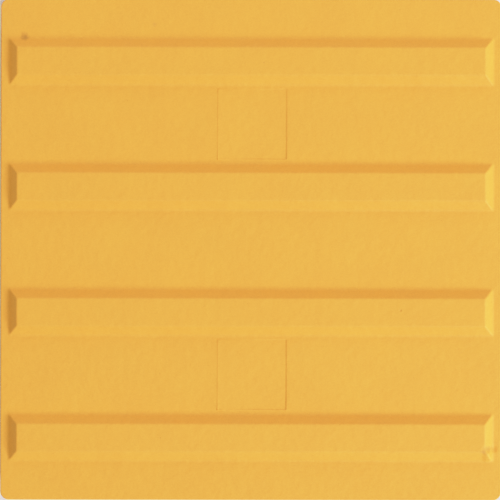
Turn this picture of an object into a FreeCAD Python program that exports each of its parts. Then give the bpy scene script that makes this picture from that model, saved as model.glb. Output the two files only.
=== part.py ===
"""Tactile paving slab: one square of pressed yellow concrete with raised guide bars.

The slab is a single casting.  Flat-topped bars with sloping sides and ends stand on its
top face, side by side, and lead a foot or a cane along the path.  Between the two bars
nearest each edge, half-way along them, the top face has one shallow bare mould panel.

Millimetres, +Z up.  The origin is the middle of the bed face, and the bars run along X.
"""

import FreeCAD, Part
import os

import Sketcher

PARTS_FOLDER = "parts"
SLAB_LABEL = "paving_slab"
SHEET_NAME = "Sizes"

# Driving dimensions, in millimetres
DRIVING_SIZES = {
    "slab_side": 300.0,  # four bar pitches, so that slabs laid close keep the pitch
    "slab_thickness": 60.0,  # bed face to the flat top between the bars
    "corner_radius": 5.0,  # upright corners of the square
    "arris_radius": 0.6,  # rounding round the edge of the top face
    "bar_pitch": 75.0,  # centre to centre of neighbouring bars
    "bar_height": 5.0,  # above the flat top
    "bar_top_width": 16.5,  # flat crest, before its edges are rounded
    "bar_side_run": 5.75,  # how far out each long side slopes
    "bar_end_run": 5.0,  # how far out each end slopes
    "bar_end_margin": 5.0,  # slab edge to the foot of a bar's end
    "crest_radius": 2.0,  # rounding along the crests and hips
    "root_radius": 3.0,  # hollow where a slope meets the flat top
    "panel_width": 41.0,  # mould panel, along the bars
    "panel_margin": 2.5,  # foot of a bar to the mould panel beside it
    "panel_recess": 0.2,  # depth of the mould panel below the flat top
}

# Sizes that follow from the driving ones, as expressions for the features
TOP = f"{SHEET_NAME}.slab_thickness"
FOOT_WIDTH = f"({SHEET_NAME}.bar_top_width + 2 * {SHEET_NAME}.bar_side_run)"
FOOT_LENGTH = f"({SHEET_NAME}.slab_side - 2 * {SHEET_NAME}.bar_end_margin)"
BAR_COUNT = f"(floor(({FOOT_LENGTH} - {FOOT_WIDTH}) / {SHEET_NAME}.bar_pitch) + 1)"
FIRST_BAR_Y = f"-({BAR_COUNT} - 1) / 2 * {SHEET_NAME}.bar_pitch"
PANEL_Y = f"({BAR_COUNT} / 2 - 1) * {SHEET_NAME}.bar_pitch"
PANEL_LENGTH = f"({SHEET_NAME}.bar_pitch - {FOOT_WIDTH} - 2 * {SHEET_NAME}.panel_margin)"

PANEL_COUNT = 2
NEAR = 1e-4  # two heights or places closer than this are the same


def make_sheet(doc):
    """Put the driving dimensions in a spreadsheet, each under its own alias."""
    sheet = doc.addObject("Spreadsheet::Sheet", SHEET_NAME)
    for row, (alias, value) in enumerate(DRIVING_SIZES.items(), start=1):
        sheet.set(f"A{row}", alias)
        sheet.set(f"B{row}", str(value))
        sheet.setAlias(f"B{row}", alias)
    doc.recompute()
    return sheet


def origin_feature(body, role):
    """Return one of the body's own origin planes or axes by its role."""
    return next(item for item in body.Origin.OriginFeatures if item.Role == role)


def rectangle_sketch(body, name, width, depth, middle_y="0", level_z="0"):
    """Sketch a level rectangle whose middle is at X = 0 and the given Y and Z."""
    sketch = body.newObject("Sketcher::SketchObject", name)
    sketch.AttachmentSupport = [(origin_feature(body, "XY_Plane"), "")]
    sketch.MapMode = "FlatFace"
    sketch.setExpression("AttachmentOffset.Base.y", middle_y)
    sketch.setExpression("AttachmentOffset.Base.z", level_z)

    corners = [FreeCAD.Vector(x, y, 0) for x, y in ((-1, -1), (1, -1), (1, 1), (-1, 1))]
    for start, end in zip(corners, corners[1:] + corners[:1]):
        sketch.addGeometry(Part.LineSegment(start, end), False)
    for line in range(4):
        sketch.addConstraint(Sketcher.Constraint("Coincident", line, 2, (line + 1) % 4, 1))
    for level, upright in ((0, 1), (2, 3)):
        sketch.addConstraint(Sketcher.Constraint("Horizontal", level))
        sketch.addConstraint(Sketcher.Constraint("Vertical", upright))
    sketch.addConstraint(Sketcher.Constraint("Symmetric", 0, 1, 1, 2, -1, 1))
    for label, kind, line, expression in (
        ("width", "DistanceX", 0, width),
        ("depth", "DistanceY", 1, depth),
    ):
        index = sketch.addConstraint(Sketcher.Constraint(kind, line, 1, line, 2, 2.0))
        sketch.renameConstraint(index, label)
        sketch.setExpression(f"Constraints.{label}", expression)
    return sketch


def edge_names(shape, belongs):
    """Name the edges of a shape whose corner points pass a test."""
    return [
        f"Edge{number}"
        for number, edge in enumerate(shape.Edges, start=1)
        if belongs([vertex.Point for vertex in edge.Vertexes])
    ]


def round_edges(body, name, base, belongs, radius_alias):
    """Round the edges of a feature that pass a test, to the radius of that alias."""
    body.Document.recompute()
    fillet = body.newObject("PartDesign::Fillet", name)
    fillet.Base = (base, edge_names(base.Shape, belongs))
    fillet.setExpression("Radius", f"{SHEET_NAME}.{radius_alias}")
    body.Tip = fillet
    return fillet


def make_block(body, sheet):
    """Cast the plain square: rounded upright corners and a rounded top arris."""
    pad = body.newObject("PartDesign::Pad", "Block")
    side = f"{SHEET_NAME}.slab_side"
    pad.Profile = rectangle_sketch(body, "BlockSketch", side, side)
    pad.setExpression("Length", TOP)

    def upright(points):
        return points[0].distanceToPoint(points[-1]) > NEAR and all(
            abs(p.x - points[0].x) < NEAR and abs(p.y - points[0].y) < NEAR for p in points
        )

    def on_top(points):
        return all(abs(p.z - sheet.slab_thickness) < NEAR for p in points)

    corners = round_edges(body, "Corners", pad, upright, "corner_radius")
    return round_edges(body, "Arris", corners, on_top, "arris_radius")


def make_bars(body, sheet):
    """Stand the guide bars on the top face, then round their crests, hips and roots."""
    bar = body.newObject("PartDesign::AdditiveWedge", "Bar")
    bar.AttachmentSupport = [(origin_feature(body, "XZ_Plane"), "")]
    bar.MapMode = "FlatFace"
    bar.setExpression("AttachmentOffset.Base.y", TOP)
    bar.setExpression("AttachmentOffset.Base.z", f"-({FIRST_BAR_Y})")
    side_run = f"{SHEET_NAME}.bar_side_run"
    end_run = f"{SHEET_NAME}.bar_end_run"
    bar.Ymin = 0
    bar.setExpression("Ymax", f"{SHEET_NAME}.bar_height")
    for sign, end in (("-", "min"), ("", "max")):
        bar.setExpression(f"X{end}", f"{sign}{FOOT_LENGTH} / 2")
        bar.setExpression(f"Z{end}", f"{sign}{FOOT_WIDTH} / 2")
        bar.setExpression(f"X2{end}", f"{sign}({FOOT_LENGTH} / 2 - {end_run})")
        bar.setExpression(f"Z2{end}", f"{sign}({FOOT_WIDTH} / 2 - {side_run})")
    body.Document.recompute()

    bars = body.newObject("PartDesign::LinearPattern", "Bars")
    bars.Originals = [bar]
    bars.Direction = (origin_feature(body, "Y_Axis"), [""])
    bars.Mode = "Spacing"
    bars.setExpression("Offset", f"{SHEET_NAME}.bar_pitch")
    bars.setExpression("Occurrences", BAR_COUNT)
    body.Tip = bars

    crest = sheet.slab_thickness + sheet.bar_height
    inner = sheet.slab_side / 2 - sheet.arris_radius - NEAR

    def crest_or_hip(points):
        return any(abs(p.z - crest) < NEAR for p in points)

    def root(points):
        return all(
            abs(p.z - sheet.slab_thickness) < NEAR and abs(p.x) < inner and abs(p.y) < inner
            for p in points
        )

    crests = round_edges(body, "Crests", bars, crest_or_hip, "crest_radius")
    return round_edges(body, "Roots", crests, root, "root_radius")


def make_panels(body):
    """Sink the bare mould panels between the two bars nearest each edge."""
    body.Document.recompute()
    panel = body.newObject("PartDesign::Pocket", "Panel")
    width = f"{SHEET_NAME}.panel_width"
    panel.Profile = rectangle_sketch(body, "PanelSketch", width, PANEL_LENGTH, PANEL_Y, TOP)
    panel.setExpression("Length", f"{SHEET_NAME}.panel_recess")
    body.Document.recompute()

    panels = body.newObject("PartDesign::PolarPattern", "Panels")
    panels.Originals = [panel]
    panels.Axis = (origin_feature(body, "Z_Axis"), [""])
    panels.Angle = 360
    panels.Occurrences = PANEL_COUNT
    body.Tip = panels
    return panels


def check(doc, body):
    """Stop unless every object is up to date and the slab is one valid solid."""
    failed = [item.Name for item in doc.Objects if {"Invalid", "Error"} & set(item.State)]
    if failed:
        raise RuntimeError(f"these objects failed: {failed}")
    shape = body.Shape
    if shape.isNull() or not shape.isValid() or len(shape.Solids) != 1:
        raise RuntimeError(f"{body.Label} is not one valid solid")


def main():
    doc = FreeCAD.newDocument("TactilePavingSlab")
    sheet = make_sheet(doc)
    body = doc.addObject("PartDesign::Body", "Slab")
    body.Label = SLAB_LABEL
    body.Placement = FreeCAD.Placement()
    make_block(body, sheet)
    make_bars(body, sheet)
    make_panels(body)
    doc.recompute()
    check(doc, body)

    os.makedirs(PARTS_FOLDER, exist_ok=True)
    body.Shape.exportStep(os.path.join(PARTS_FOLDER, f"{body.Label}.step"))
    box = body.Shape.optimalBoundingBox(False, False)
    print(f"{body.Label}: {box.XLength:.2f} x {box.YLength:.2f} x {box.ZLength:.2f} mm,")
    print(f"volume {body.Shape.Volume / 1e6:.4f} litres, {len(body.Shape.Faces)} faces")


main()
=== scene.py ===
"""Model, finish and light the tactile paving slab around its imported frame.

Metres throughout, in the frame's own axes: +Z up, the guide bars along X, and the origin in
the middle of the bed face.  The slab is one casting, so it is modelled as one piece, the way
a hand would do it: a plain block is rounded, cut into a lattice, its bars are pulled up and
tapered, and then the marks of the mould and of use are pressed into it.
"""

import logging
import math
from collections.abc import Callable
from dataclasses import dataclass
from enum import Enum

import bmesh
import bpy
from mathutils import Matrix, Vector


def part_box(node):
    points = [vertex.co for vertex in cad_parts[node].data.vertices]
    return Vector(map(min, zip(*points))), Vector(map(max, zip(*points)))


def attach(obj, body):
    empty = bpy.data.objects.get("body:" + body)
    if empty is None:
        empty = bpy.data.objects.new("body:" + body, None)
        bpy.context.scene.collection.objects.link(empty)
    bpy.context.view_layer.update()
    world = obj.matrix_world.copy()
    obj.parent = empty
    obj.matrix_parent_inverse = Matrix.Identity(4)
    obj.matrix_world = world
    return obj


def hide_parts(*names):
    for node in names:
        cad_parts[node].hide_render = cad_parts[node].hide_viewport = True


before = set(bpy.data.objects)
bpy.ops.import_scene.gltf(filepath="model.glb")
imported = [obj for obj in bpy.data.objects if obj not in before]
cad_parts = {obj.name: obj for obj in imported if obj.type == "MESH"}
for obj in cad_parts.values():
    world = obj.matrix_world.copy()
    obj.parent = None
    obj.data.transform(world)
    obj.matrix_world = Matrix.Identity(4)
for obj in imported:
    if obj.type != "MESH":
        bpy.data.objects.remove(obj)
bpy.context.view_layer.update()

LOG = logging.getLogger("paving_slab")
NODE = "paving_slab"
BODY = "root"

MILLIMETRE = 0.001
NEAR = 1e-5  # two heights closer than this are the same
CUT_SNAP = 8e-5  # a cut that passes a point closer than this goes through it
LOOKS_UP = 0.1  # a normal with more of Z than this looks up
LOOKS_DOWN = -0.5  # a normal with less of Z than this looks down

Colour = tuple[float, float, float]
Place = tuple[float, float]
Feed = bpy.types.NodeSocket | float | tuple[float, ...]


class Axis(Enum):
    """The frame's axes, by their place in a vector."""

    X = 0
    Y = 1
    Z = 2

    def unit(self) -> Vector:
        """Return the unit vector along this axis."""
        return Vector([float(number == self.value) for number in range(3)])


class Pick(Enum):
    """What kind of mesh element a selection takes."""

    VERTS = "VERT"
    EDGES = "EDGE"
    FACES = "FACE"


class Face(Enum):
    """The slab's three kinds of surface, by material slot."""

    MOULDED = 0
    SIDE = 1
    BED = 2


class Falloff(Enum):
    """How a pushed place fades out into the surface round it."""

    ROUND = "SMOOTH"
    POINTED = "SHARP"


# Modelling by hand in edit mode


@dataclass
class Bench:
    """A piece held in edit mode, with the few moves that the slab is made by."""

    piece: bpy.types.Object

    def __enter__(self) -> "Bench":
        """Take the piece into edit mode, alone.

        Returns:
            The bench itself.
        """
        bpy.ops.object.select_all(action="DESELECT")
        bpy.context.view_layer.objects.active = self.piece
        self.piece.select_set(True)
        bpy.ops.object.mode_set(mode="EDIT")
        return self

    def __exit__(self, *_: object) -> None:
        """Put the piece back into object mode."""
        bpy.ops.object.mode_set(mode="OBJECT")

    def pick(self, kind: Pick, wanted: Callable[..., bool]) -> None:
        """Select the elements that pass a test, and nothing else.

        Args:
            kind: The kind of element to look at.
            wanted: The test, given one element at a time.
        """
        bpy.ops.mesh.select_mode(type=kind.value)
        bpy.ops.mesh.select_all(action="DESELECT")
        mesh = bmesh.from_edit_mesh(self.piece.data)
        elements = {Pick.VERTS: mesh.verts, Pick.EDGES: mesh.edges, Pick.FACES: mesh.faces}
        chosen = [element for element in elements[kind] if wanted(element)]
        for element in chosen:
            element.select_set(True)
        bmesh.update_edit_mesh(self.piece.data)

    def cut(self, axis: Axis, place: float) -> None:
        """Cut what is selected along a plane square to an axis.

        Args:
            axis: The axis that the cut is square to.
            place: Where the cut crosses that axis.
        """
        bpy.ops.mesh.bisect(plane_co=axis.unit() * place, plane_no=axis.unit(), threshold=CUT_SNAP)

    def round_off(self, width: float, steps: int) -> None:
        """Round the selected edges.

        Args:
            width: How far the rounding reaches on each side of an edge.
            steps: How many flats make up the rounding.
        """
        bpy.ops.mesh.bevel(
            offset=width, offset_type="OFFSET", segments=steps, affect="EDGES", clamp_overlap=False
        )

    def push(self, move: Vector, reach: float, falloff: Falloff) -> None:
        """Move the selected points, and drag the surface round them along.

        Args:
            move: How far and which way the points go.
            reach: How far off the surface still follows.
            falloff: How its following fades with distance.
        """
        bpy.ops.transform.translate(
            value=move,
            use_proportional_edit=True,
            proportional_edit_falloff=falloff.value,
            proportional_size=reach,
        )


def is_ridge(edge: bmesh.types.BMEdge, least_turn: float = math.radians(20)) -> bool:
    """Tell whether the surface turns sharply at an edge."""
    return len(edge.link_faces) == 2 and edge.calc_face_angle() > least_turn


def at_height(element: bmesh.types.BMEdge | bmesh.types.BMFace, height: float) -> bool:
    """Tell whether all corners of an edge or face are at one height."""
    return all(abs(vert.co.z - height) < NEAR for vert in element.verts)


def eased(share: float) -> float:
    """Return a share from nothing to one that starts and ends gently."""
    return share * share * (3 - 2 * share)


def both_edges(middles: list[float], width: float) -> list[float]:
    """Return the two edges of each of some equally wide spans."""
    return [middle + side * width / 2 for middle in middles for side in (-1, 1)]


def spaced_lines(fixed: list[float], spacing: float) -> list[float]:
    """Fill the gaps between fixed lines with evenly spaced ones.

    Args:
        fixed: The places that must have a line, in order; the first and last are edges.
        spacing: The widest gap allowed between two lines.

    Returns:
        All lines inside the two edges, in order.
    """
    lines = []
    for start, end in zip(fixed, fixed[1:]):
        steps = max(1, math.ceil((end - start) / spacing - NEAR))
        lines += [start + (end - start) * step / steps for step in range(1, steps + 1)]
    return lines[:-1]


# The slab and what is cast on it


@dataclass(frozen=True)
class GuideBars:
    """The raised bars: flat crests, with sides and ends that slope out to the foot."""

    slab_side: float
    flat: float
    pitch: float = 75 * MILLIMETRE
    height: float = 5 * MILLIMETRE
    top_width: float = 16.5 * MILLIMETRE
    side_run: float = 5.75 * MILLIMETRE
    end_run: float = 5 * MILLIMETRE
    end_margin: float = 5 * MILLIMETRE
    crest_radius: float = 2 * MILLIMETRE
    root_radius: float = 3 * MILLIMETRE
    rounding_steps: int = 4

    @property
    def foot_width(self) -> float:
        """Width where a bar meets the flat top."""
        return self.top_width + 2 * self.side_run

    @property
    def foot_length(self) -> float:
        """Length where a bar meets the flat top."""
        return self.slab_side - 2 * self.end_margin

    def centres(self) -> list[float]:
        """Return the Y of each bar's middle line, in order."""
        count = math.floor((self.foot_length - self.foot_width) / self.pitch) + 1
        return [(number - (count - 1) / 2) * self.pitch for number in range(count)]

    def pull_up(self, bench: Bench) -> None:
        """Extrude each bar from the flat top and taper it to its crest.

        Args:
            bench: The slab in edit mode.
        """
        taper = (
            1 - 2 * self.end_run / self.foot_length,
            1 - 2 * self.side_run / self.foot_width,
            1.0,
        )
        for middle in self.centres():
            bench.pick(Pick.FACES, lambda face: self._is_foot(face, middle))
            bpy.ops.mesh.extrude_region_move(TRANSFORM_OT_translate={"value": (0, 0, self.height)})
            bpy.ops.transform.resize(value=taper, center_override=(0, middle, self.flat))

    def _is_foot(self, face: bmesh.types.BMFace, middle: float) -> bool:
        """Tell whether a face of the flat top is under one bar.

        Args:
            face: The face.
            middle: The Y of the bar's middle line.

        Returns:
            Whether it is.
        """
        centre = face.calc_center_median()
        return (
            at_height(face, self.flat)
            and abs(centre.x) < self.foot_length / 2
            and abs(centre.y - middle) < self.foot_width / 2
        )

    def round_off(self, bench: Bench) -> None:
        """Round the crests and hips, then hollow the roots.

        Args:
            bench: The slab in edit mode.
        """
        half_turn = math.atan2(self.height, self.side_run) / 2
        bench.pick(Pick.EDGES, self._is_crest_or_hip)
        bench.round_off(self.crest_radius * math.tan(half_turn), self.rounding_steps)
        bench.pick(Pick.FACES, self._is_round_foot_corner)
        bpy.ops.mesh.dissolve_faces()
        bench.pick(Pick.EDGES, self._is_root)
        bench.round_off(self.root_radius * math.tan(half_turn), self.rounding_steps)

    def _is_crest_or_hip(self, edge: bmesh.types.BMEdge) -> bool:
        """Tell whether an edge runs round a bar's crest or down one of its corners."""
        return is_ridge(edge) and max(vert.co.z for vert in edge.verts) > self.flat + NEAR

    def _is_root(self, edge: bmesh.types.BMEdge) -> bool:
        """Tell whether an edge runs round a bar's foot."""
        return is_ridge(edge) and at_height(edge, self.flat)

    def _is_round_foot_corner(self, face: bmesh.types.BMFace, reach: float = 3.5 * MILLIMETRE) -> bool:
        """Tell whether a face of the flat top is close round the corner of a bar's foot.

        Args:
            face: The face.
            reach: How far from the corner still counts as close.

        Returns:
            Whether it is.
        """
        centre = face.calc_center_median()
        middle = min(self.centres(), key=lambda place: abs(centre.y - place))
        from_end = abs(abs(centre.x) - self.foot_length / 2)
        from_side = abs(abs(centre.y - middle) - self.foot_width / 2)
        return at_height(face, self.flat) and max(from_end, from_side) < reach


@dataclass(frozen=True)
class MouldPanels:
    """The two bare panels that loose plates in the mould leave.

    Each plate sits a little askew, so its panel is proud at one end and sunk at the other, and
    concrete that was pressed past two of its edges is left there as a low flash.
    """

    bars: GuideBars
    width: float = 41 * MILLIMETRE
    margin: float = 2.5 * MILLIMETRE
    off_middle: float = 0.6 * MILLIMETRE
    recess: float = 0.15 * MILLIMETRE
    tilt_along_bars: float = math.radians(-0.8)
    tilt_across_bars: float = math.radians(-0.14)
    wall_width: float = 1.2 * MILLIMETRE
    wall_steps: int = 4
    end_flash: float = 0.12 * MILLIMETRE
    side_flash: float = 0.26 * MILLIMETRE

    @property
    def length(self) -> float:
        """Length of a panel across the bars."""
        return self.bars.pitch - self.bars.foot_width - 2 * self.margin

    def centres(self) -> list[float]:
        """Return the Y of each panel's middle."""
        offset = (len(self.bars.centres()) / 2 - 1) * self.bars.pitch
        return [-offset, offset]

    def sink(self, bench: Bench) -> None:
        """Sink each panel: cut its wall into lines, then settle the floor and each line.

        Args:
            bench: The slab in edit mode.
        """
        for middle in self.centres():
            self._cut_wall(bench, middle)
            bench.pick(Pick.VERTS, lambda vert: self._on_floor(vert.co, middle))
            self._settle(1.0, middle)
            for step in range(1, self.wall_steps):
                inward = step / self.wall_steps
                bench.pick(Pick.VERTS, lambda vert: self._on_line(vert.co, middle, inward))
                self._settle(eased(inward), middle)
                self._raise_flash(bench, middle, inward)

    def _cut_wall(self, bench: Bench, middle: float) -> None:
        """Cut the lines that the wall round a panel bends along.

        Args:
            bench: The slab in edit mode.
            middle: The Y of the panel's middle.
        """
        spans = ((Axis.X, self.off_middle, self.width), (Axis.Y, middle, self.length))
        for step in range(self.wall_steps + 1):
            outside = self._line_outside(step / self.wall_steps)
            for axis, centre, span in spans:
                for sign in (-1, 1):
                    bench.pick(Pick.FACES, lambda face: self._is_near(face, middle))
                    bench.cut(axis, centre + sign * (span / 2 + outside))

    def _line_outside(self, inward: float) -> float:
        """Return how far outside the outline a line of the wall lies."""
        return self.wall_width * (0.5 - inward)

    def _settle(self, share: float, middle: float) -> None:
        """Lower and tilt what is selected.

        Args:
            share: Its share of the panel's recess and tilt.
            middle: The Y of the panel's middle.
        """
        centre = (self.off_middle, middle, self.bars.flat)
        bpy.ops.transform.translate(value=(0, 0, -share * self.recess))
        for axis, tilt in (("Y", self.tilt_along_bars), ("X", self.tilt_across_bars)):
            bpy.ops.transform.rotate(value=share * tilt, orient_axis=axis, center_override=centre)

    def _raise_flash(self, bench: Bench, middle: float, inward: float) -> None:
        """Raise one line of the wall where the flash is.

        Args:
            bench: The slab in edit mode.
            middle: The Y of the panel's middle.
            inward: How far across the wall the line is, from its outer edge.
        """
        bulge = math.sin(math.pi * inward)
        inner = self.wall_width / 2 + NEAR
        flashes = (
            (Axis.X, self.off_middle - self.width / 2 + inner, self.end_flash),
            (Axis.Y, middle - self.length / 2 + inner, self.side_flash),
        )
        for axis, limit, height in flashes:
            bench.pick(
                Pick.VERTS,
                lambda vert: vert.co[axis.value] < limit and self._on_line(vert.co, middle, inward),
            )
            bpy.ops.transform.translate(value=(0, 0, bulge * height))

    def _outside(self, place: Vector, middle: float) -> float:
        """Return how far a place is outside a panel's outline; inside it is negative."""
        along = abs(place.x - self.off_middle) - self.width / 2
        return max(along, abs(place.y - middle) - self.length / 2)

    def _on_line(self, place: Vector, middle: float, inward: float) -> bool:
        """Tell whether a place of the top is on one line of a panel's wall."""
        off_line = abs(self._outside(place, middle) - self._line_outside(inward))
        return off_line < NEAR and abs(place.z - self.bars.flat) < self.bars.height / 2

    def _on_floor(self, place: Vector, middle: float) -> bool:
        """Tell whether a place of the top is on a panel's floor, inside its wall."""
        inside = self._outside(place, middle) < self._line_outside(1.0) + NEAR
        return inside and abs(place.z - self.bars.flat) < NEAR

    def _is_near(self, face: bmesh.types.BMFace, middle: float) -> bool:
        """Tell whether a face of the flat top is in a panel or close round it."""
        outside = self._outside(face.calc_center_median(), middle)
        return outside < self.margin and at_height(face, self.bars.flat)


@dataclass(frozen=True)
class CastFlaw:
    """One small lump, dent or crease in the top, along a short line seen in plan."""

    start: Place
    end: Place
    move: tuple[float, float, float]
    reach: float
    falloff: Falloff = Falloff.ROUND
    line_width: float = 0.75 * MILLIMETRE

    def shape(self, bench: Bench) -> None:
        """Push the surface in or out along the line."""
        bench.pick(Pick.VERTS, self._takes)
        bench.push(Vector(self.move), self.reach, self.falloff)

    def _takes(self, vert: bmesh.types.BMVert) -> bool:
        """Tell whether a point of the top is on the line."""
        return vert.normal.z > LOOKS_UP and self._is_on_line(vert.co.xy)

    def _is_on_line(self, place: Vector) -> bool:
        """Tell whether a place seen in plan is on the line.

        Args:
            place: The place, as X and Y.

        Returns:
            Whether it is within half the line's width.
        """
        start = Vector(self.start)
        along = Vector(self.end) - start
        share = (place - start).dot(along) / max(along.length_squared, NEAR * NEAR)
        nearest = start + along * min(max(share, 0.0), 1.0)
        return (place - nearest).length < self.line_width / 2


@dataclass(frozen=True)
class RoughPatch:
    """A patch of the top with a fine lattice, where flaws are shaped."""

    low: Place
    high: Place
    flaws: tuple[CastFlaw, ...]
    spacing: float = 0.5 * MILLIMETRE

    def shape(self, bench: Bench) -> None:
        """Cut the patch into a fine lattice and shape its flaws.

        Args:
            bench: The slab in edit mode.
        """
        for axis in (Axis.X, Axis.Y):
            start, end = self.low[axis.value], self.high[axis.value]
            for place in spaced_lines([start, end], self.spacing):
                bench.pick(Pick.FACES, self._holds)
                bench.cut(axis, place)
        for flaw in self.flaws:
            flaw.shape(bench)

    def _holds(self, face: bmesh.types.BMFace) -> bool:
        """Tell whether a face of the top lies in the patch.

        Args:
            face: The face.

        Returns:
            Whether its middle is inside and it looks upwards.
        """
        centre = face.calc_center_median()
        inside = all(low < middle < high for low, middle, high in zip(self.low, centre, self.high))
        return inside and face.normal.z > LOOKS_UP


BULGE = CastFlaw(
    start=(0.1416, -0.1214),
    end=(0.1416, -0.1224),
    move=(0.5 * MILLIMETRE, 0.0, 0.0),
    reach=2.6 * MILLIMETRE,
)
LUMP = CastFlaw(
    start=(0.1415, -0.1230),
    end=(0.1418, -0.1250),
    move=(0.0, 0.0, 0.8 * MILLIMETRE),
    reach=3.4 * MILLIMETRE,
)
CREASE = CastFlaw(
    start=(0.1400, -0.1192),
    end=(0.1452, -0.1188),
    move=(0.0, 0.0, -0.35 * MILLIMETRE),
    reach=3.0 * MILLIMETRE,
)
FOOT_DENT = CastFlaw(
    start=(0.1457, -0.1188),
    end=(0.1457, -0.1198),
    move=(0.0, 0.0, -0.15 * MILLIMETRE),
    reach=1.6 * MILLIMETRE,
)
BROKEN_BAR_END = RoughPatch(
    low=(0.1335, -0.1300),
    high=(0.1485, -0.1150),
    flaws=(BULGE, LUMP, CREASE, FOOT_DENT),
)

AIR_HOLE_PLACE: Place = (0.0893, -0.0362)
AIR_HOLE_ROOM = 2 * MILLIMETRE  # from the hole's middle to the edges of its fine lattice
AIR_HOLE_PIT = CastFlaw(
    start=AIR_HOLE_PLACE,
    end=AIR_HOLE_PLACE,
    move=(0.0, 0.0, -0.5 * MILLIMETRE),
    reach=0.9 * MILLIMETRE,
    falloff=Falloff.POINTED,
    line_width=0.4 * MILLIMETRE,
)
AIR_HOLE = RoughPatch(
    low=tuple(part - AIR_HOLE_ROOM for part in AIR_HOLE_PLACE),
    high=tuple(part + AIR_HOLE_ROOM for part in AIR_HOLE_PLACE),
    flaws=(AIR_HOLE_PIT,),
    spacing=0.3 * MILLIMETRE,
)


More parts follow.
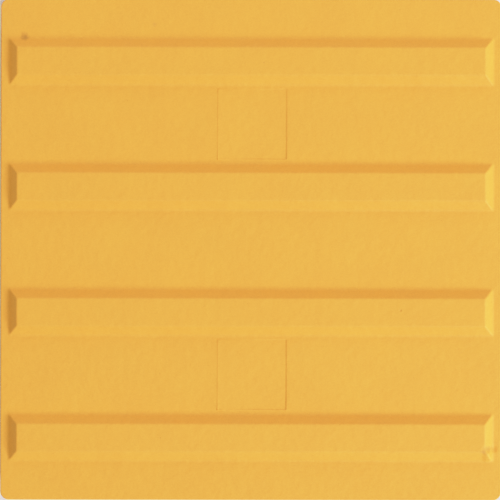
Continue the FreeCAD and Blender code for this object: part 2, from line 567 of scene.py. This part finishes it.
@dataclass(frozen=True)
class PavingSlab:
    """The slab: a square block with its bars, panels and flaws, modelled as one piece."""

    side: float
    flat: float
    bars: GuideBars
    panels: MouldPanels
    patches: tuple[RoughPatch, ...] = (BROKEN_BAR_END, AIR_HOLE)
    corner_radius: float = 5 * MILLIMETRE
    corner_steps: int = 8
    arris_radius: float = 0.6 * MILLIMETRE
    arris_steps: int = 3
    bed_arris_width: float = 0.6 * MILLIMETRE
    bed_arris_steps: int = 2
    lattice: float = 5 * MILLIMETRE
    wave_length: float = 28 * MILLIMETRE
    wave_depth: float = 0.12 * MILLIMETRE
    smooth_up_to: float = math.radians(35)

    @classmethod
    def in_box(cls, low: Vector, high: Vector) -> "PavingSlab":
        """Size the slab from its box in the frame.

        Args:
            low: Lowest corner of the box.
            high: Highest corner of the box, at the bars' crests.

        Returns:
            The slab, not yet built.
        """
        side = high.x - low.x
        flat = high.z - GuideBars.height
        bars = GuideBars(slab_side=side, flat=flat)
        return cls(side=side, flat=flat, bars=bars, panels=MouldPanels(bars))

    def build(self) -> bpy.types.Object:
        """Model the slab.

        Returns:
            The finished piece, at the origin with its place in its mesh.
        """
        piece = self._block()
        with Bench(piece) as bench:
            self._round_block(bench)
            self._cut_lattice(bench)
            self.bars.pull_up(bench)
            self.bars.round_off(bench)
            self.panels.sink(bench)
            for patch in self.patches:
                patch.shape(bench)
        self._make_uneven(piece)
        self._shade(piece)
        return piece

    def _block(self) -> bpy.types.Object:
        """Add the plain block that everything is shaped from.

        Returns:
            The block, at the origin with its place in its mesh.
        """
        bpy.ops.object.select_all(action="DESELECT")
        bpy.ops.mesh.primitive_cube_add(
            size=1, location=(0, 0, self.flat / 2), scale=(self.side, self.side, self.flat)
        )
        bpy.ops.object.transform_apply(location=True, rotation=True, scale=True)
        piece = bpy.context.object
        piece.name = piece.data.name = "cast_slab"
        return piece

    def _round_block(self, bench: Bench) -> None:
        """Round the upright corners, the top arris and, barely, the bed's.

        Args:
            bench: The slab in edit mode.
        """
        bench.pick(Pick.EDGES, self._is_upright)
        bench.round_off(self.corner_radius, self.corner_steps)
        bench.pick(Pick.EDGES, lambda edge: at_height(edge, self.flat))
        bench.round_off(self.arris_radius, self.arris_steps)
        bench.pick(Pick.EDGES, lambda edge: at_height(edge, 0.0))
        bench.round_off(self.bed_arris_width, self.bed_arris_steps)

    def _is_upright(self, edge: bmesh.types.BMEdge) -> bool:
        """Tell whether an edge runs up the block."""
        return abs(edge.verts[0].co.z - edge.verts[1].co.z) > self.flat / 2

    def _cut_lattice(self, bench: Bench) -> None:
        """Cut the block into a lattice that follows the bars' feet and the panels.

        Args:
            bench: The slab in edit mode.
        """
        edge = self.side / 2
        bar_ends = both_edges([0.0], self.bars.foot_length)
        bar_feet = both_edges(self.bars.centres(), self.bars.foot_width)
        panel_sides = both_edges([self.panels.off_middle], self.panels.width)
        panel_ends = both_edges(self.panels.centres(), self.panels.length)
        fixed = {
            Axis.X: [-edge, *sorted(bar_ends + panel_sides), edge],
            Axis.Y: [-edge, *sorted(bar_feet + panel_ends), edge],
            Axis.Z: [0.0, self.flat],
        }
        for axis, places in fixed.items():
            for place in spaced_lines(places, self.lattice):
                bpy.ops.mesh.select_all(action="SELECT")
                bench.cut(axis, place)

    def _make_uneven(self, piece: bpy.types.Object) -> None:
        """Let the top wander a little below its true height, as a casting does.

        Args:
            piece: The slab, in object mode.
        """
        moulded = piece.vertex_groups.new(name="moulded")
        lowest = self.flat - self.arris_radius / 2
        above = [point.index for point in piece.data.vertices if point.co.z > lowest]
        moulded.add(above, 1.0, "REPLACE")
        waves = bpy.data.textures.new("casting_waves", "CLOUDS")
        waves.noise_scale = self.wave_length
        waves.noise_depth = 1
        bpy.ops.object.modifier_add(type="DISPLACE")
        uneven = piece.modifiers[-1]
        uneven.texture = waves
        uneven.texture_coords = "LOCAL"
        uneven.mid_level = 1.0
        uneven.strength = self.wave_depth
        uneven.vertex_group = moulded.name
        bpy.ops.object.modifier_apply(modifier=uneven.name)

    def _shade(self, piece: bpy.types.Object) -> None:
        """Smooth the roundings and keep the flats flat.

        Args:
            piece: The slab, in object mode.
        """
        bpy.ops.object.shade_smooth_by_angle(angle=self.smooth_up_to)
        bpy.ops.object.modifier_add(type="WEIGHTED_NORMAL")
        weighting = piece.modifiers[-1]
        weighting.keep_sharp = True
        bpy.ops.object.modifier_apply(modifier=weighting.name)

    def dress(self, piece: bpy.types.Object, finishes: dict[Face, "ConcreteFinish"]) -> None:
        """Give each kind of surface its finish and join the piece to the frame.

        Args:
            piece: The built slab.
            finishes: The finish of each kind of surface.
        """
        effects = ConcreteEffects()
        for finish in finishes.values():
            piece.data.materials.append(finish.material(effects))
        with Bench(piece) as bench:
            for kind in (Face.SIDE, Face.BED):
                bench.pick(Pick.FACES, lambda face: self._kind_of(face) is kind)
                piece.active_material_index = kind.value
                bpy.ops.object.material_slot_assign()
        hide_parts(NODE)
        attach(piece, BODY)

    def _kind_of(self, face: bmesh.types.BMFace) -> Face:
        """Say which kind of surface a face belongs to.

        Args:
            face: The face.

        Returns:
            The kind of surface.
        """
        if face.normal.z < LOOKS_DOWN:
            return Face.BED
        below_arris = face.calc_center_median().z < self.flat - self.arris_radius
        return Face.SIDE if below_arris else Face.MOULDED


# Finishes


class Sum(Enum):
    """The sums that the finishes do with numbers."""

    ADD = "ADD"
    TAKE = "SUBTRACT"
    TIMES = "MULTIPLY"
    OVER = "DIVIDE"


class Socket(Enum):
    """What a node group takes in or puts out."""

    NUMBER = "NodeSocketFloat"
    PLACE = "NodeSocketVector"


MIX_UNDER, MIX_OVER, MIX_RESULT = 6, 7, 2  # the colour sockets of a Mix node


@dataclass
class Wiring:
    """A node tree that is being wired, one node at a time."""

    tree: bpy.types.NodeTree

    def add(self, kind: str, feeds: dict[str | int, Feed], **settings: object) -> bpy.types.Node:
        """Add a node.

        Args:
            kind: The node's type.
            feeds: A link or a value for each input that needs one.
            settings: The node's own properties.

        Returns:
            The new node.
        """
        node = self.tree.nodes.new(kind)
        for name, value in settings.items():
            setattr(node, name, value)
        for socket, feed in feeds.items():
            self.feed(node.inputs[socket], feed)
        return node

    def feed(self, socket: bpy.types.NodeSocket, feed: Feed) -> None:
        """Link a socket, or set its value.

        Args:
            socket: The input to feed.
            feed: The output that it is linked to, or its value.
        """
        if isinstance(feed, bpy.types.NodeSocket):
            self.tree.links.new(feed, socket)
        else:
            socket.default_value = feed

    def sum(self, first: Feed, kind: Sum, second: Feed) -> bpy.types.NodeSocket:
        """Do a sum with two numbers and return the result's socket."""
        node = self.add("ShaderNodeMath", {0: first, 1: second}, operation=kind.value)
        return node.outputs[0]

    def blend(self, share: Feed, under: Feed, over: Feed) -> bpy.types.NodeSocket:
        """Lay a share of one colour over another.

        Args:
            share: How much of the upper colour covers the lower one.
            under: The lower colour.
            over: The upper colour.

        Returns:
            The mixed colour's socket.
        """
        node = self.add("ShaderNodeMix", {0: share}, data_type="RGBA")
        self.feed(node.inputs[MIX_UNDER], under)
        self.feed(node.inputs[MIX_OVER], over)
        return node.outputs[MIX_RESULT]

    def fade(self, value: Feed, full_at: Feed, none_at: Feed) -> bpy.types.NodeSocket:
        """Turn a rising value into a mask that fades from one to nothing.

        Args:
            value: The value.
            full_at: Where the mask is still whole.
            none_at: Where nothing of it is left.

        Returns:
            The mask's socket.
        """
        feeds = {"Value": value, "From Min": full_at, "From Max": none_at, "To Min": 1.0, "To Max": 0.0}
        node = self.add("ShaderNodeMapRange", feeds, interpolation_type="SMOOTHSTEP")
        return node.outputs["Result"]

    def noise(self, place: Feed, scale: Feed, detail: float) -> bpy.types.NodeSocket:
        """Add cloudy noise and return its value's socket."""
        node = self.add("ShaderNodeTexNoise", {"Vector": place, "Scale": scale, "Detail": detail})
        return node.outputs["Fac"]


class ConcreteEffects:
    """The node groups that the concrete finishes share, each built once."""

    CLOUD_DETAIL = 2.0
    CEMENT_DETAIL = 3.0
    CEMENT_SCALE = 0.4  # against the grains' own scale
    PORE_FLOOR = 0.5  # share of a pore's radius that is at its full depth
    RAGGED_SCALE = 2.0  # waves of a spot's rim in its radius
    ELSEWHERE = (3.1, 1.7, 0.9)  # far enough off for other clouds

    def __init__(self) -> None:
        """Build every group."""
        self.sand = self._sand()
        self.skin = self._skin()
        self.mottling = self._mottling()
        self.pores = self._pores()
        self.spot = self._spot()

    @staticmethod
    def _group(
        name: str, takes: dict[str, Socket], gives: tuple[str, ...]
    ) -> tuple[Wiring, bpy.types.NodeInputs, bpy.types.NodeOutputs]:
        """Start a node group.

        Args:
            name: The group's name.
            takes: Its inputs.
            gives: Its outputs, which are all numbers.

        Returns:
            The group's wiring, its inputs to read from and its outputs to feed.
        """
        tree = bpy.data.node_groups.new(name, "ShaderNodeTree")
        for title, kind in takes.items():
            tree.interface.new_socket(title, in_out="INPUT", socket_type=kind.value)
        for title in gives:
            tree.interface.new_socket(title, in_out="OUTPUT", socket_type=Socket.NUMBER.value)
        wiring = Wiring(tree)
        start = wiring.add("NodeGroupInput", {})
        end = wiring.add("NodeGroupOutput", {})
        return wiring, start.outputs, end.inputs

    def _sand(self) -> bpy.types.NodeTree:
        """Make fine sand: its relief, and a tone for each grain.

        Returns:
            The node group.
        """
        takes = {"Place": Socket.PLACE, "Grain": Socket.NUMBER}
        wiring, given, out = self._group("sand_grain", takes, ("Height", "Tone"))
        scale = wiring.sum(1.0, Sum.OVER, given["Grain"])
        grains = wiring.add("ShaderNodeTexVoronoi", {"Vector": given["Place"], "Scale": scale})
        coarse = wiring.sum(scale, Sum.TIMES, self.CEMENT_SCALE)
        cement = wiring.noise(given["Place"], coarse, self.CEMENT_DETAIL)
        crown = wiring.sum(1.0, Sum.TAKE, grains.outputs["Distance"])
        height = wiring.sum(wiring.sum(crown, Sum.ADD, cement), Sum.TIMES, 0.5)
        tone = wiring.add("ShaderNodeSeparateColor", {"Color": grains.outputs["Color"]})
        wiring.feed(out["Height"], height)
        wiring.feed(out["Tone"], tone.outputs["Red"])
        return wiring.tree

    def _skin(self) -> bpy.types.NodeTree:
        """Make the low unevenness of the set cement skin.

        Returns:
            The node group.
        """
        takes = {"Place": Socket.PLACE, "Wave": Socket.NUMBER}
        wiring, given, out = self._group("uneven_skin", takes, ("Height",))
        scale = wiring.sum(1.0, Sum.OVER, given["Wave"])
        wiring.feed(out["Height"], wiring.noise(given["Place"], scale, self.CLOUD_DETAIL))
        return wiring.tree

    def _mottling(self) -> bpy.types.NodeTree:
        """Make cloudy patches: how bright and how warm the concrete is.

        Returns:
            The node group.
        """
        takes = {"Place": Socket.PLACE, "Patch": Socket.NUMBER}
        wiring, given, out = self._group("mottling", takes, ("Brightness", "Warmth"))
        scale = wiring.sum(1.0, Sum.OVER, given["Patch"])
        elsewhere = wiring.add(
            "ShaderNodeVectorMath", {0: given["Place"], 1: self.ELSEWHERE}, operation="ADD"
        )
        brightness = wiring.noise(given["Place"], scale, self.CLOUD_DETAIL)
        warmth = wiring.noise(elsewhere.outputs["Vector"], scale, self.CLOUD_DETAIL)
        wiring.feed(out["Brightness"], brightness)
        wiring.feed(out["Warmth"], warmth)
        return wiring.tree

    def _pores(self) -> bpy.types.NodeTree:
        """Make scattered air holes of many sizes up to one radius, as a mask.

        Returns:
            The node group.
        """
        takes = {"Place": Socket.PLACE, "Spacing": Socket.NUMBER, "Radius": Socket.NUMBER}
        wiring, given, out = self._group("air_pores", takes, ("Mask",))
        scale = wiring.sum(1.0, Sum.OVER, given["Spacing"])
        cells = wiring.add("ShaderNodeTexVoronoi", {"Vector": given["Place"], "Scale": scale})
        distance = wiring.sum(cells.outputs["Distance"], Sum.TIMES, given["Spacing"])
        chance = wiring.add("ShaderNodeSeparateColor", {"Color": cells.outputs["Color"]})
        outer = wiring.sum(given["Radius"], Sum.TIMES, chance.outputs["Red"])
        inner = wiring.sum(outer, Sum.TIMES, self.PORE_FLOOR)
        wiring.feed(out["Mask"], wiring.fade(distance, inner, outer))
        return wiring.tree

    def _spot(self) -> bpy.types.NodeTree:
        """Make one ragged spot, as a mask.

        Returns:
            The node group.
        """
        takes = {
            "Place": Socket.PLACE,
            "Centre": Socket.PLACE,
            "Squeeze": Socket.PLACE,
            "Radius": Socket.NUMBER,
        }
        wiring, given, out = self._group("ragged_spot", takes, ("Mask",))
        offset = wiring.add(
            "ShaderNodeVectorMath", {0: given["Place"], 1: given["Centre"]}, operation="SUBTRACT"
        )
        squeezed = wiring.add(
            "ShaderNodeVectorMath", {0: offset.outputs[0], 1: given["Squeeze"]}, operation="MULTIPLY"
        )
        away = wiring.add("ShaderNodeVectorMath", {0: squeezed.outputs[0]}, operation="LENGTH")
        scale = wiring.sum(self.RAGGED_SCALE, Sum.OVER, given["Radius"])
        clouds = wiring.noise(given["Place"], scale, self.CLOUD_DETAIL)
        ragged = wiring.sum(clouds, Sum.TAKE, 0.5)
        stray = wiring.sum(ragged, Sum.TIMES, given["Radius"])
        distance = wiring.sum(away.outputs["Value"], Sum.ADD, stray)
        wiring.feed(out["Mask"], wiring.fade(distance, 0.0, given["Radius"]))
        return wiring.tree


@dataclass(frozen=True)
class ColourSpot:
    """One spot of another colour on the surface, for stains and for painted shade; a squeeze below one
    makes it longer that way.
    """

    centre: tuple[float, float, float]
    radius: float
    colour: Colour
    strength: float
    squeeze: tuple[float, float, float] = (1.0, 1.0, 1.0)

    def lay(
        self, wiring: Wiring, mask: bpy.types.NodeSocket, under: bpy.types.NodeSocket
    ) -> bpy.types.NodeSocket:
        """Lay the spot over a colour and return the mixed colour's socket."""
        share = wiring.sum(mask, Sum.TIMES, self.strength)
        return wiring.blend(share, under, (*self.colour, 1.0))


@dataclass(frozen=True)
class ConcreteFinish:
    """Through-coloured concrete: sandy grain, cloudy colour, air holes darkened with painted shade, and
    spots of stain and of painted shade.
    """

    name: str
    colour: Colour
    warm_colour: Colour
    warm_share: float
    patch: float
    brightness_swing: float
    grain: float
    grain_height: float
    grain_contrast: float
    skin_wave: float
    skin_height: float
    pore_spacing: float
    pore_radius: float
    pore_depth: float
    # painted shade: the colour that darkens the air holes, and how much of it is laid
    pore_shade_colour: Colour
    pore_shade_share: float
    roughness: float
    roughness_swing: float
    colour_spots: tuple[ColourSpot, ...] = ()

    def material(self, effects: ConcreteEffects) -> bpy.types.Material:
        """Wire the finish.

        Args:
            effects: The node groups that all the finishes use.

        Returns:
            The material.
        """
        material = bpy.data.materials.new(self.name)
        material.use_nodes = True
        wiring = Wiring(material.node_tree)
        shader = material.node_tree.nodes["Principled BSDF"]
        place = wiring.add("ShaderNodeTexCoord", {}).outputs["Object"]
        sand = self._use(wiring, effects.sand, Place=place, Grain=self.grain)
        skin = self._use(wiring, effects.skin, Place=place, Wave=self.skin_wave)
        clouds = self._use(wiring, effects.mottling, Place=place, Patch=self.patch)
        pores = self._use(
            wiring, effects.pores, Place=place, Spacing=self.pore_spacing, Radius=self.pore_radius
        )
        colour = self._colour(wiring, clouds, sand["Tone"], pores["Mask"])
        for colour_spot in self.colour_spots:
            spot = self._use(
                wiring,
                effects.spot,
                Place=place,
                Centre=colour_spot.centre,
                Squeeze=colour_spot.squeeze,
                Radius=colour_spot.radius,
            )
            colour = colour_spot.lay(wiring, spot["Mask"], colour)
        wiring.feed(shader.inputs["Base Color"], colour)
        swing = wiring.sum(clouds["Brightness"], Sum.TIMES, self.roughness_swing)
        wiring.feed(shader.inputs["Roughness"], wiring.sum(swing, Sum.ADD, self.roughness))
        normal = self._relief(wiring, sand["Height"], skin["Height"], pores["Mask"])
        wiring.feed(shader.inputs["Normal"], normal)
        return material

    @staticmethod
    def _use(
        wiring: Wiring, group: bpy.types.NodeTree, **feeds: Feed
    ) -> bpy.types.NodeOutputs:
        """Place a node group and return its outputs."""
        return wiring.add("ShaderNodeGroup", feeds, node_tree=group).outputs

    def _colour(
        self,
        wiring: Wiring,
        clouds: bpy.types.NodeOutputs,
        tone: bpy.types.NodeSocket,
        pores: bpy.types.NodeSocket,
    ) -> bpy.types.NodeSocket:
        """Mix the concrete's own colour, then darken the air holes with painted shade.

        Args:
            wiring: The material's wiring.
            clouds: The mottling's outputs.
            tone: A tone for each grain of sand.
            pores: The air holes' mask.

        Returns:
            The colour's socket.
        """
        warmth = wiring.sum(clouds["Warmth"], Sum.TIMES, self.warm_share)
        colour = wiring.blend(warmth, (*self.colour, 1.0), (*self.warm_colour, 1.0))
        swings = ((clouds["Brightness"], self.brightness_swing), (tone, self.grain_contrast))
        brightness: Feed = 1.0
        for value, swing in swings:
            centred = wiring.sum(value, Sum.TAKE, 0.5)
            brightness = wiring.sum(wiring.sum(centred, Sum.TIMES, swing), Sum.ADD, brightness)
        colour = wiring.add("ShaderNodeHueSaturation", {"Color": colour, "Value": brightness})
        # painted shade in the air holes
        share = wiring.sum(pores, Sum.TIMES, self.pore_shade_share)
        return wiring.blend(share, colour.outputs["Color"], (*self.pore_shade_colour, 1.0))

    def _relief(
        self,
        wiring: Wiring,
        grain: bpy.types.NodeSocket,
        skin: bpy.types.NodeSocket,
        pores: bpy.types.NodeSocket,
    ) -> bpy.types.NodeSocket:
        """Raise the grain and the skin and sink the air holes, in true heights.

        Args:
            wiring: The material's wiring.
            grain: The sand's relief, from nothing to one.
            skin: The skin's unevenness, from nothing to one.
            pores: The air holes' mask.

        Returns:
            The normal's socket.
        """
        sandy = wiring.sum(grain, Sum.TIMES, self.grain_height)
        wavy = wiring.sum(skin, Sum.TIMES, self.skin_height)
        sunk = wiring.sum(pores, Sum.TIMES, self.pore_depth)
        height = wiring.sum(wiring.sum(sandy, Sum.ADD, wavy), Sum.TAKE, sunk)
        bump = wiring.add("ShaderNodeBump", {"Height": height, "Distance": 1.0, "Strength": 1.0})
        return bump.outputs["Normal"]


def top_colour_spots(flat: float) -> tuple[ColourSpot, ...]:
    """Place the spots of colour on the top: two stains that use has left, dirt with painted shade in
    the crease, on the crest and at the foot of the broken bar end, and painted shade in the air hole.

    Args:
        flat: The height of the flat top.

    Returns:
        The spots, in the order that they are laid.
    """
    crest = flat + GuideBars.height
    half_up = flat + GuideBars.height / 2
    brown_spot = ColourSpot(
        centre=(-0.1358, 0.1270, flat),
        radius=3.8 * MILLIMETRE,
        colour=(0.47, 0.21, 0.03),
        strength=0.65,
    )
    faint_spot = ColourSpot(
        centre=(-0.0580, 0.1347, flat),
        radius=2.2 * MILLIMETRE,
        colour=(0.62, 0.32, 0.06),
        strength=0.35,
    )
    # dirt and painted shade darken the crease across the broken bar end
    crease_dirt_and_shade = ColourSpot(
        centre=(0.1424, -0.1190, half_up),
        radius=2.8 * MILLIMETRE,
        colour=(0.62, 0.32, 0.044),
        strength=0.8,
        squeeze=(0.5, 1.0, 0.3),
    )
    # dirt and painted shade on the broken bar end's crest, beside its lump
    crest_dirt_and_shade = ColourSpot(
        centre=(0.1391, -0.1211, crest),
        radius=2.6 * MILLIMETRE,
        colour=(0.64, 0.32, 0.04),
        strength=0.85,
    )
    # dirt and painted shade at the foot of the broken bar end
    foot_dirt_and_shade = ColourSpot(
        centre=(0.1457, -0.1194, flat),
        radius=2.8 * MILLIMETRE,
        colour=(0.74, 0.38, 0.045),
        strength=0.7,
    )
    # painted shade in and round the air hole
    hole_shade = ColourSpot(
        centre=(*AIR_HOLE_PLACE, crest),
        radius=1.3 * MILLIMETRE,
        colour=(0.5, 0.26, 0.03),
        strength=0.35,
    )
    return (brown_spot, faint_spot, crease_dirt_and_shade, crest_dirt_and_shade, foot_dirt_and_shade, hole_shade)


def moulded_top(flat: float) -> ConcreteFinish:
    """Describe the smooth top that lay against the mould, with its stains.

    Args:
        flat: The height of the flat top.

    Returns:
        The finish.
    """
    return ConcreteFinish(
        name="moulded_yellow_concrete",
        colour=(0.854, 0.446, 0.052),
        warm_colour=(0.854, 0.417, 0.047),
        warm_share=0.8,
        patch=22 * MILLIMETRE,
        brightness_swing=0.06,
        grain=0.45 * MILLIMETRE,
        grain_height=0.05 * MILLIMETRE,
        grain_contrast=0.08,
        skin_wave=5 * MILLIMETRE,
        skin_height=0.3 * MILLIMETRE,
        pore_spacing=9 * MILLIMETRE,
        pore_radius=0.45 * MILLIMETRE,
        pore_depth=0.12 * MILLIMETRE,
        # painted shade in the air holes
        pore_shade_colour=(0.55, 0.28, 0.035),
        pore_shade_share=0.4,
        roughness=0.62,
        roughness_swing=0.1,
        colour_spots=top_colour_spots(flat),
    )


def pressed_sides() -> ConcreteFinish:
    """Describe the open, porous concrete of the sides.

    Returns:
        The finish.
    """
    return ConcreteFinish(
        name="pressed_yellow_concrete",
        colour=(0.83, 0.426, 0.083),
        warm_colour=(0.78, 0.373, 0.069),
        warm_share=0.9,
        patch=14 * MILLIMETRE,
        brightness_swing=0.14,
        grain=0.7 * MILLIMETRE,
        grain_height=0.14 * MILLIMETRE,
        grain_contrast=0.14,
        skin_wave=7 * MILLIMETRE,
        skin_height=0.9 * MILLIMETRE,
        pore_spacing=5 * MILLIMETRE,
        pore_radius=1.1 * MILLIMETRE,
        pore_depth=0.6 * MILLIMETRE,
        # painted shade in the air holes
        pore_shade_colour=(0.36, 0.17, 0.035),
        pore_shade_share=0.8,
        roughness=0.72,
        roughness_swing=0.15,
    )


def bed_face() -> ConcreteFinish:
    """Describe the coarse concrete of the bed face.

    Returns:
        The finish.
    """
    return ConcreteFinish(
        name="bed_face_concrete",
        colour=(0.8, 0.426, 0.098),
        warm_colour=(0.74, 0.358, 0.073),
        warm_share=0.9,
        patch=18 * MILLIMETRE,
        brightness_swing=0.2,
        grain=1.1 * MILLIMETRE,
        grain_height=0.3 * MILLIMETRE,
        grain_contrast=0.2,
        skin_wave=9 * MILLIMETRE,
        skin_height=1.6 * MILLIMETRE,
        pore_spacing=5 * MILLIMETRE,
        pore_radius=1.4 * MILLIMETRE,
        pore_depth=0.8 * MILLIMETRE,
        # painted shade in the air holes
        pore_shade_colour=(0.34, 0.16, 0.035),
        pore_shade_share=0.8,
        roughness=0.8,
        roughness_swing=0.1,
    )


def concrete_finishes(flat: float) -> dict[Face, ConcreteFinish]:
    """Return the finish of each kind of surface, in the order of the material slots."""
    return {Face.MOULDED: moulded_top(flat), Face.SIDE: pressed_sides(), Face.BED: bed_face()}


# Studio


@dataclass(frozen=True)
class SoftLight:
    """One large round lamp, aimed at the slab from a direction."""

    name: str
    azimuth: float
    elevation: float
    distance: float
    size: float
    strength: float
    colour: Colour

    def hang(self) -> None:
        """Add the lamp, with the power that lights a white surface facing it to its strength."""
        level = math.cos(self.elevation)
        towards = Vector(
            (level * math.cos(self.azimuth), level * math.sin(self.azimuth), math.sin(self.elevation))
        )
        bpy.ops.object.light_add(type="AREA", location=towards * self.distance)
        lamp = bpy.context.object
        lamp.name = self.name
        lamp.rotation_euler = towards.to_track_quat("Z", "Y").to_euler()
        lamp.data.shape = "DISK"
        lamp.data.size = self.size
        lamp.data.color = self.colour
        lamp.data.energy = self.strength * (math.pi * self.distance) ** 2
        lamp.visible_camera = False


KEY = SoftLight(
    name="key_light",
    azimuth=math.radians(-39),
    elevation=math.radians(31),
    distance=3.2,
    size=1.2,
    strength=0.955,
    colour=(0.78, 0.905, 1.0),
)
FILL = SoftLight(
    name="fill_light",
    azimuth=math.radians(85),
    elevation=math.radians(35),
    distance=2.0,
    size=2.75,
    strength=0.478,
    colour=(0.98, 1.0, 0.93),
)


ALL_CHANNELS = 3  # the curve that works on red, green and blue together


@dataclass(frozen=True)
class PhotoCurve:
    """The soft shoulder of a photograph: light above a knee is pressed towards a top."""

    knee: float = 0.7
    top: float = 1.1
    brightest: float = 2.0
    steps: int = 6

    def level(self, light: float) -> float:
        """Return the level that an amount of light is shown at."""
        over, room = max(light - self.knee, 0.0), self.top - self.knee
        return min(light, self.knee) + room * over / (room + over)

    def use(self, settings: bpy.types.ColorManagedViewSettings) -> None:
        """Show the picture through this curve.

        Args:
            settings: The scene's view settings.
        """
        settings.use_curve_mapping = True
        mapping = settings.curve_mapping
        mapping.white_level = (self.brightest, self.brightest, self.brightest)
        points = mapping.curves[ALL_CHANNELS].points
        for step in range(self.steps):
            light = self.knee + (self.brightest - self.knee) * (step / self.steps) ** 2
            points.new(light / self.brightest, self.level(light))
        points[0].handle_type = points[1].handle_type = "VECTOR"
        mapping.update()


@dataclass(frozen=True)
class Studio:
    """A pale floor, soft light from both sides, and a camera straight above the slab."""

    flat: float
    lamps: tuple[SoftLight, ...] = (KEY, FILL)
    curve: PhotoCurve = PhotoCurve()
    sky_strength: float = 0.527
    sky_colour: Colour = (1.0, 0.847, 0.822)
    view_width: float = 299.5 * MILLIMETRE
    view_offset: Place = (-0.62 * MILLIMETRE, -0.27 * MILLIMETRE)
    view_roll: float = math.radians(0.11)
    lens: float = 154.0
    sensor: float = 36.0
    floor_size: float = 30.0
    floor_colour: Colour = (0.78, 0.77, 0.75)
    floor_roughness: float = 0.9
    sight: float = 4.0  # how far the camera sees, in its own distances from the slab

    def set_up(self) -> None:
        """Lay the floor, hang the lights and place the camera."""
        self._floor()
        for lamp in self.lamps:
            lamp.hang()
        self._sky()
        self._camera()
        bpy.context.scene.view_settings.view_transform = "Standard"
        self.curve.use(bpy.context.scene.view_settings)

    def _floor(self) -> None:
        """Lay a plain pale floor."""
        bpy.ops.mesh.primitive_plane_add(size=self.floor_size)
        floor = bpy.context.object
        floor.name = "studio_floor"
        material = bpy.data.materials.new("pale_floor")
        material.use_nodes = True
        shader = material.node_tree.nodes["Principled BSDF"]
        shader.inputs["Base Color"].default_value = (*self.floor_colour, 1.0)
        shader.inputs["Roughness"].default_value = self.floor_roughness
        floor.data.materials.append(material)

    def _sky(self) -> None:
        """Light the rest evenly from all round."""
        world = bpy.data.worlds.new("soft_surround")
        world.use_nodes = True
        background = world.node_tree.nodes["Background"]
        background.inputs["Color"].default_value = (*self.sky_colour, 1.0)
        background.inputs["Strength"].default_value = self.sky_strength
        bpy.context.scene.world = world

    def _camera(self) -> None:
        """Look straight down, so that the slab just fills the square picture."""
        distance = self.view_width * self.lens / self.sensor
        bpy.ops.object.camera_add(
            location=(*self.view_offset, self.flat + distance), rotation=(0, 0, self.view_roll)
        )
        camera = bpy.context.object
        camera.name = "camera"
        camera.data.lens = self.lens
        camera.data.sensor_width = self.sensor
        camera.data.clip_end = self.sight * distance
        bpy.context.scene.camera = camera


def main() -> None:
    """Build the slab, finish it and light it."""
    logging.basicConfig(level=logging.INFO, format="%(name)s: %(message)s")
    slab = PavingSlab.in_box(*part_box(NODE))
    piece = slab.build()
    LOG.info("%s has %d faces", piece.name, len(piece.data.polygons))
    slab.dress(piece, concrete_finishes(slab.flat))
    LOG.info("%s has %d finishes", piece.name, len(piece.data.materials))
    Studio(slab.flat).set_up()
    LOG.info("the studio is set up")


if __name__ == "__main__":
    main()
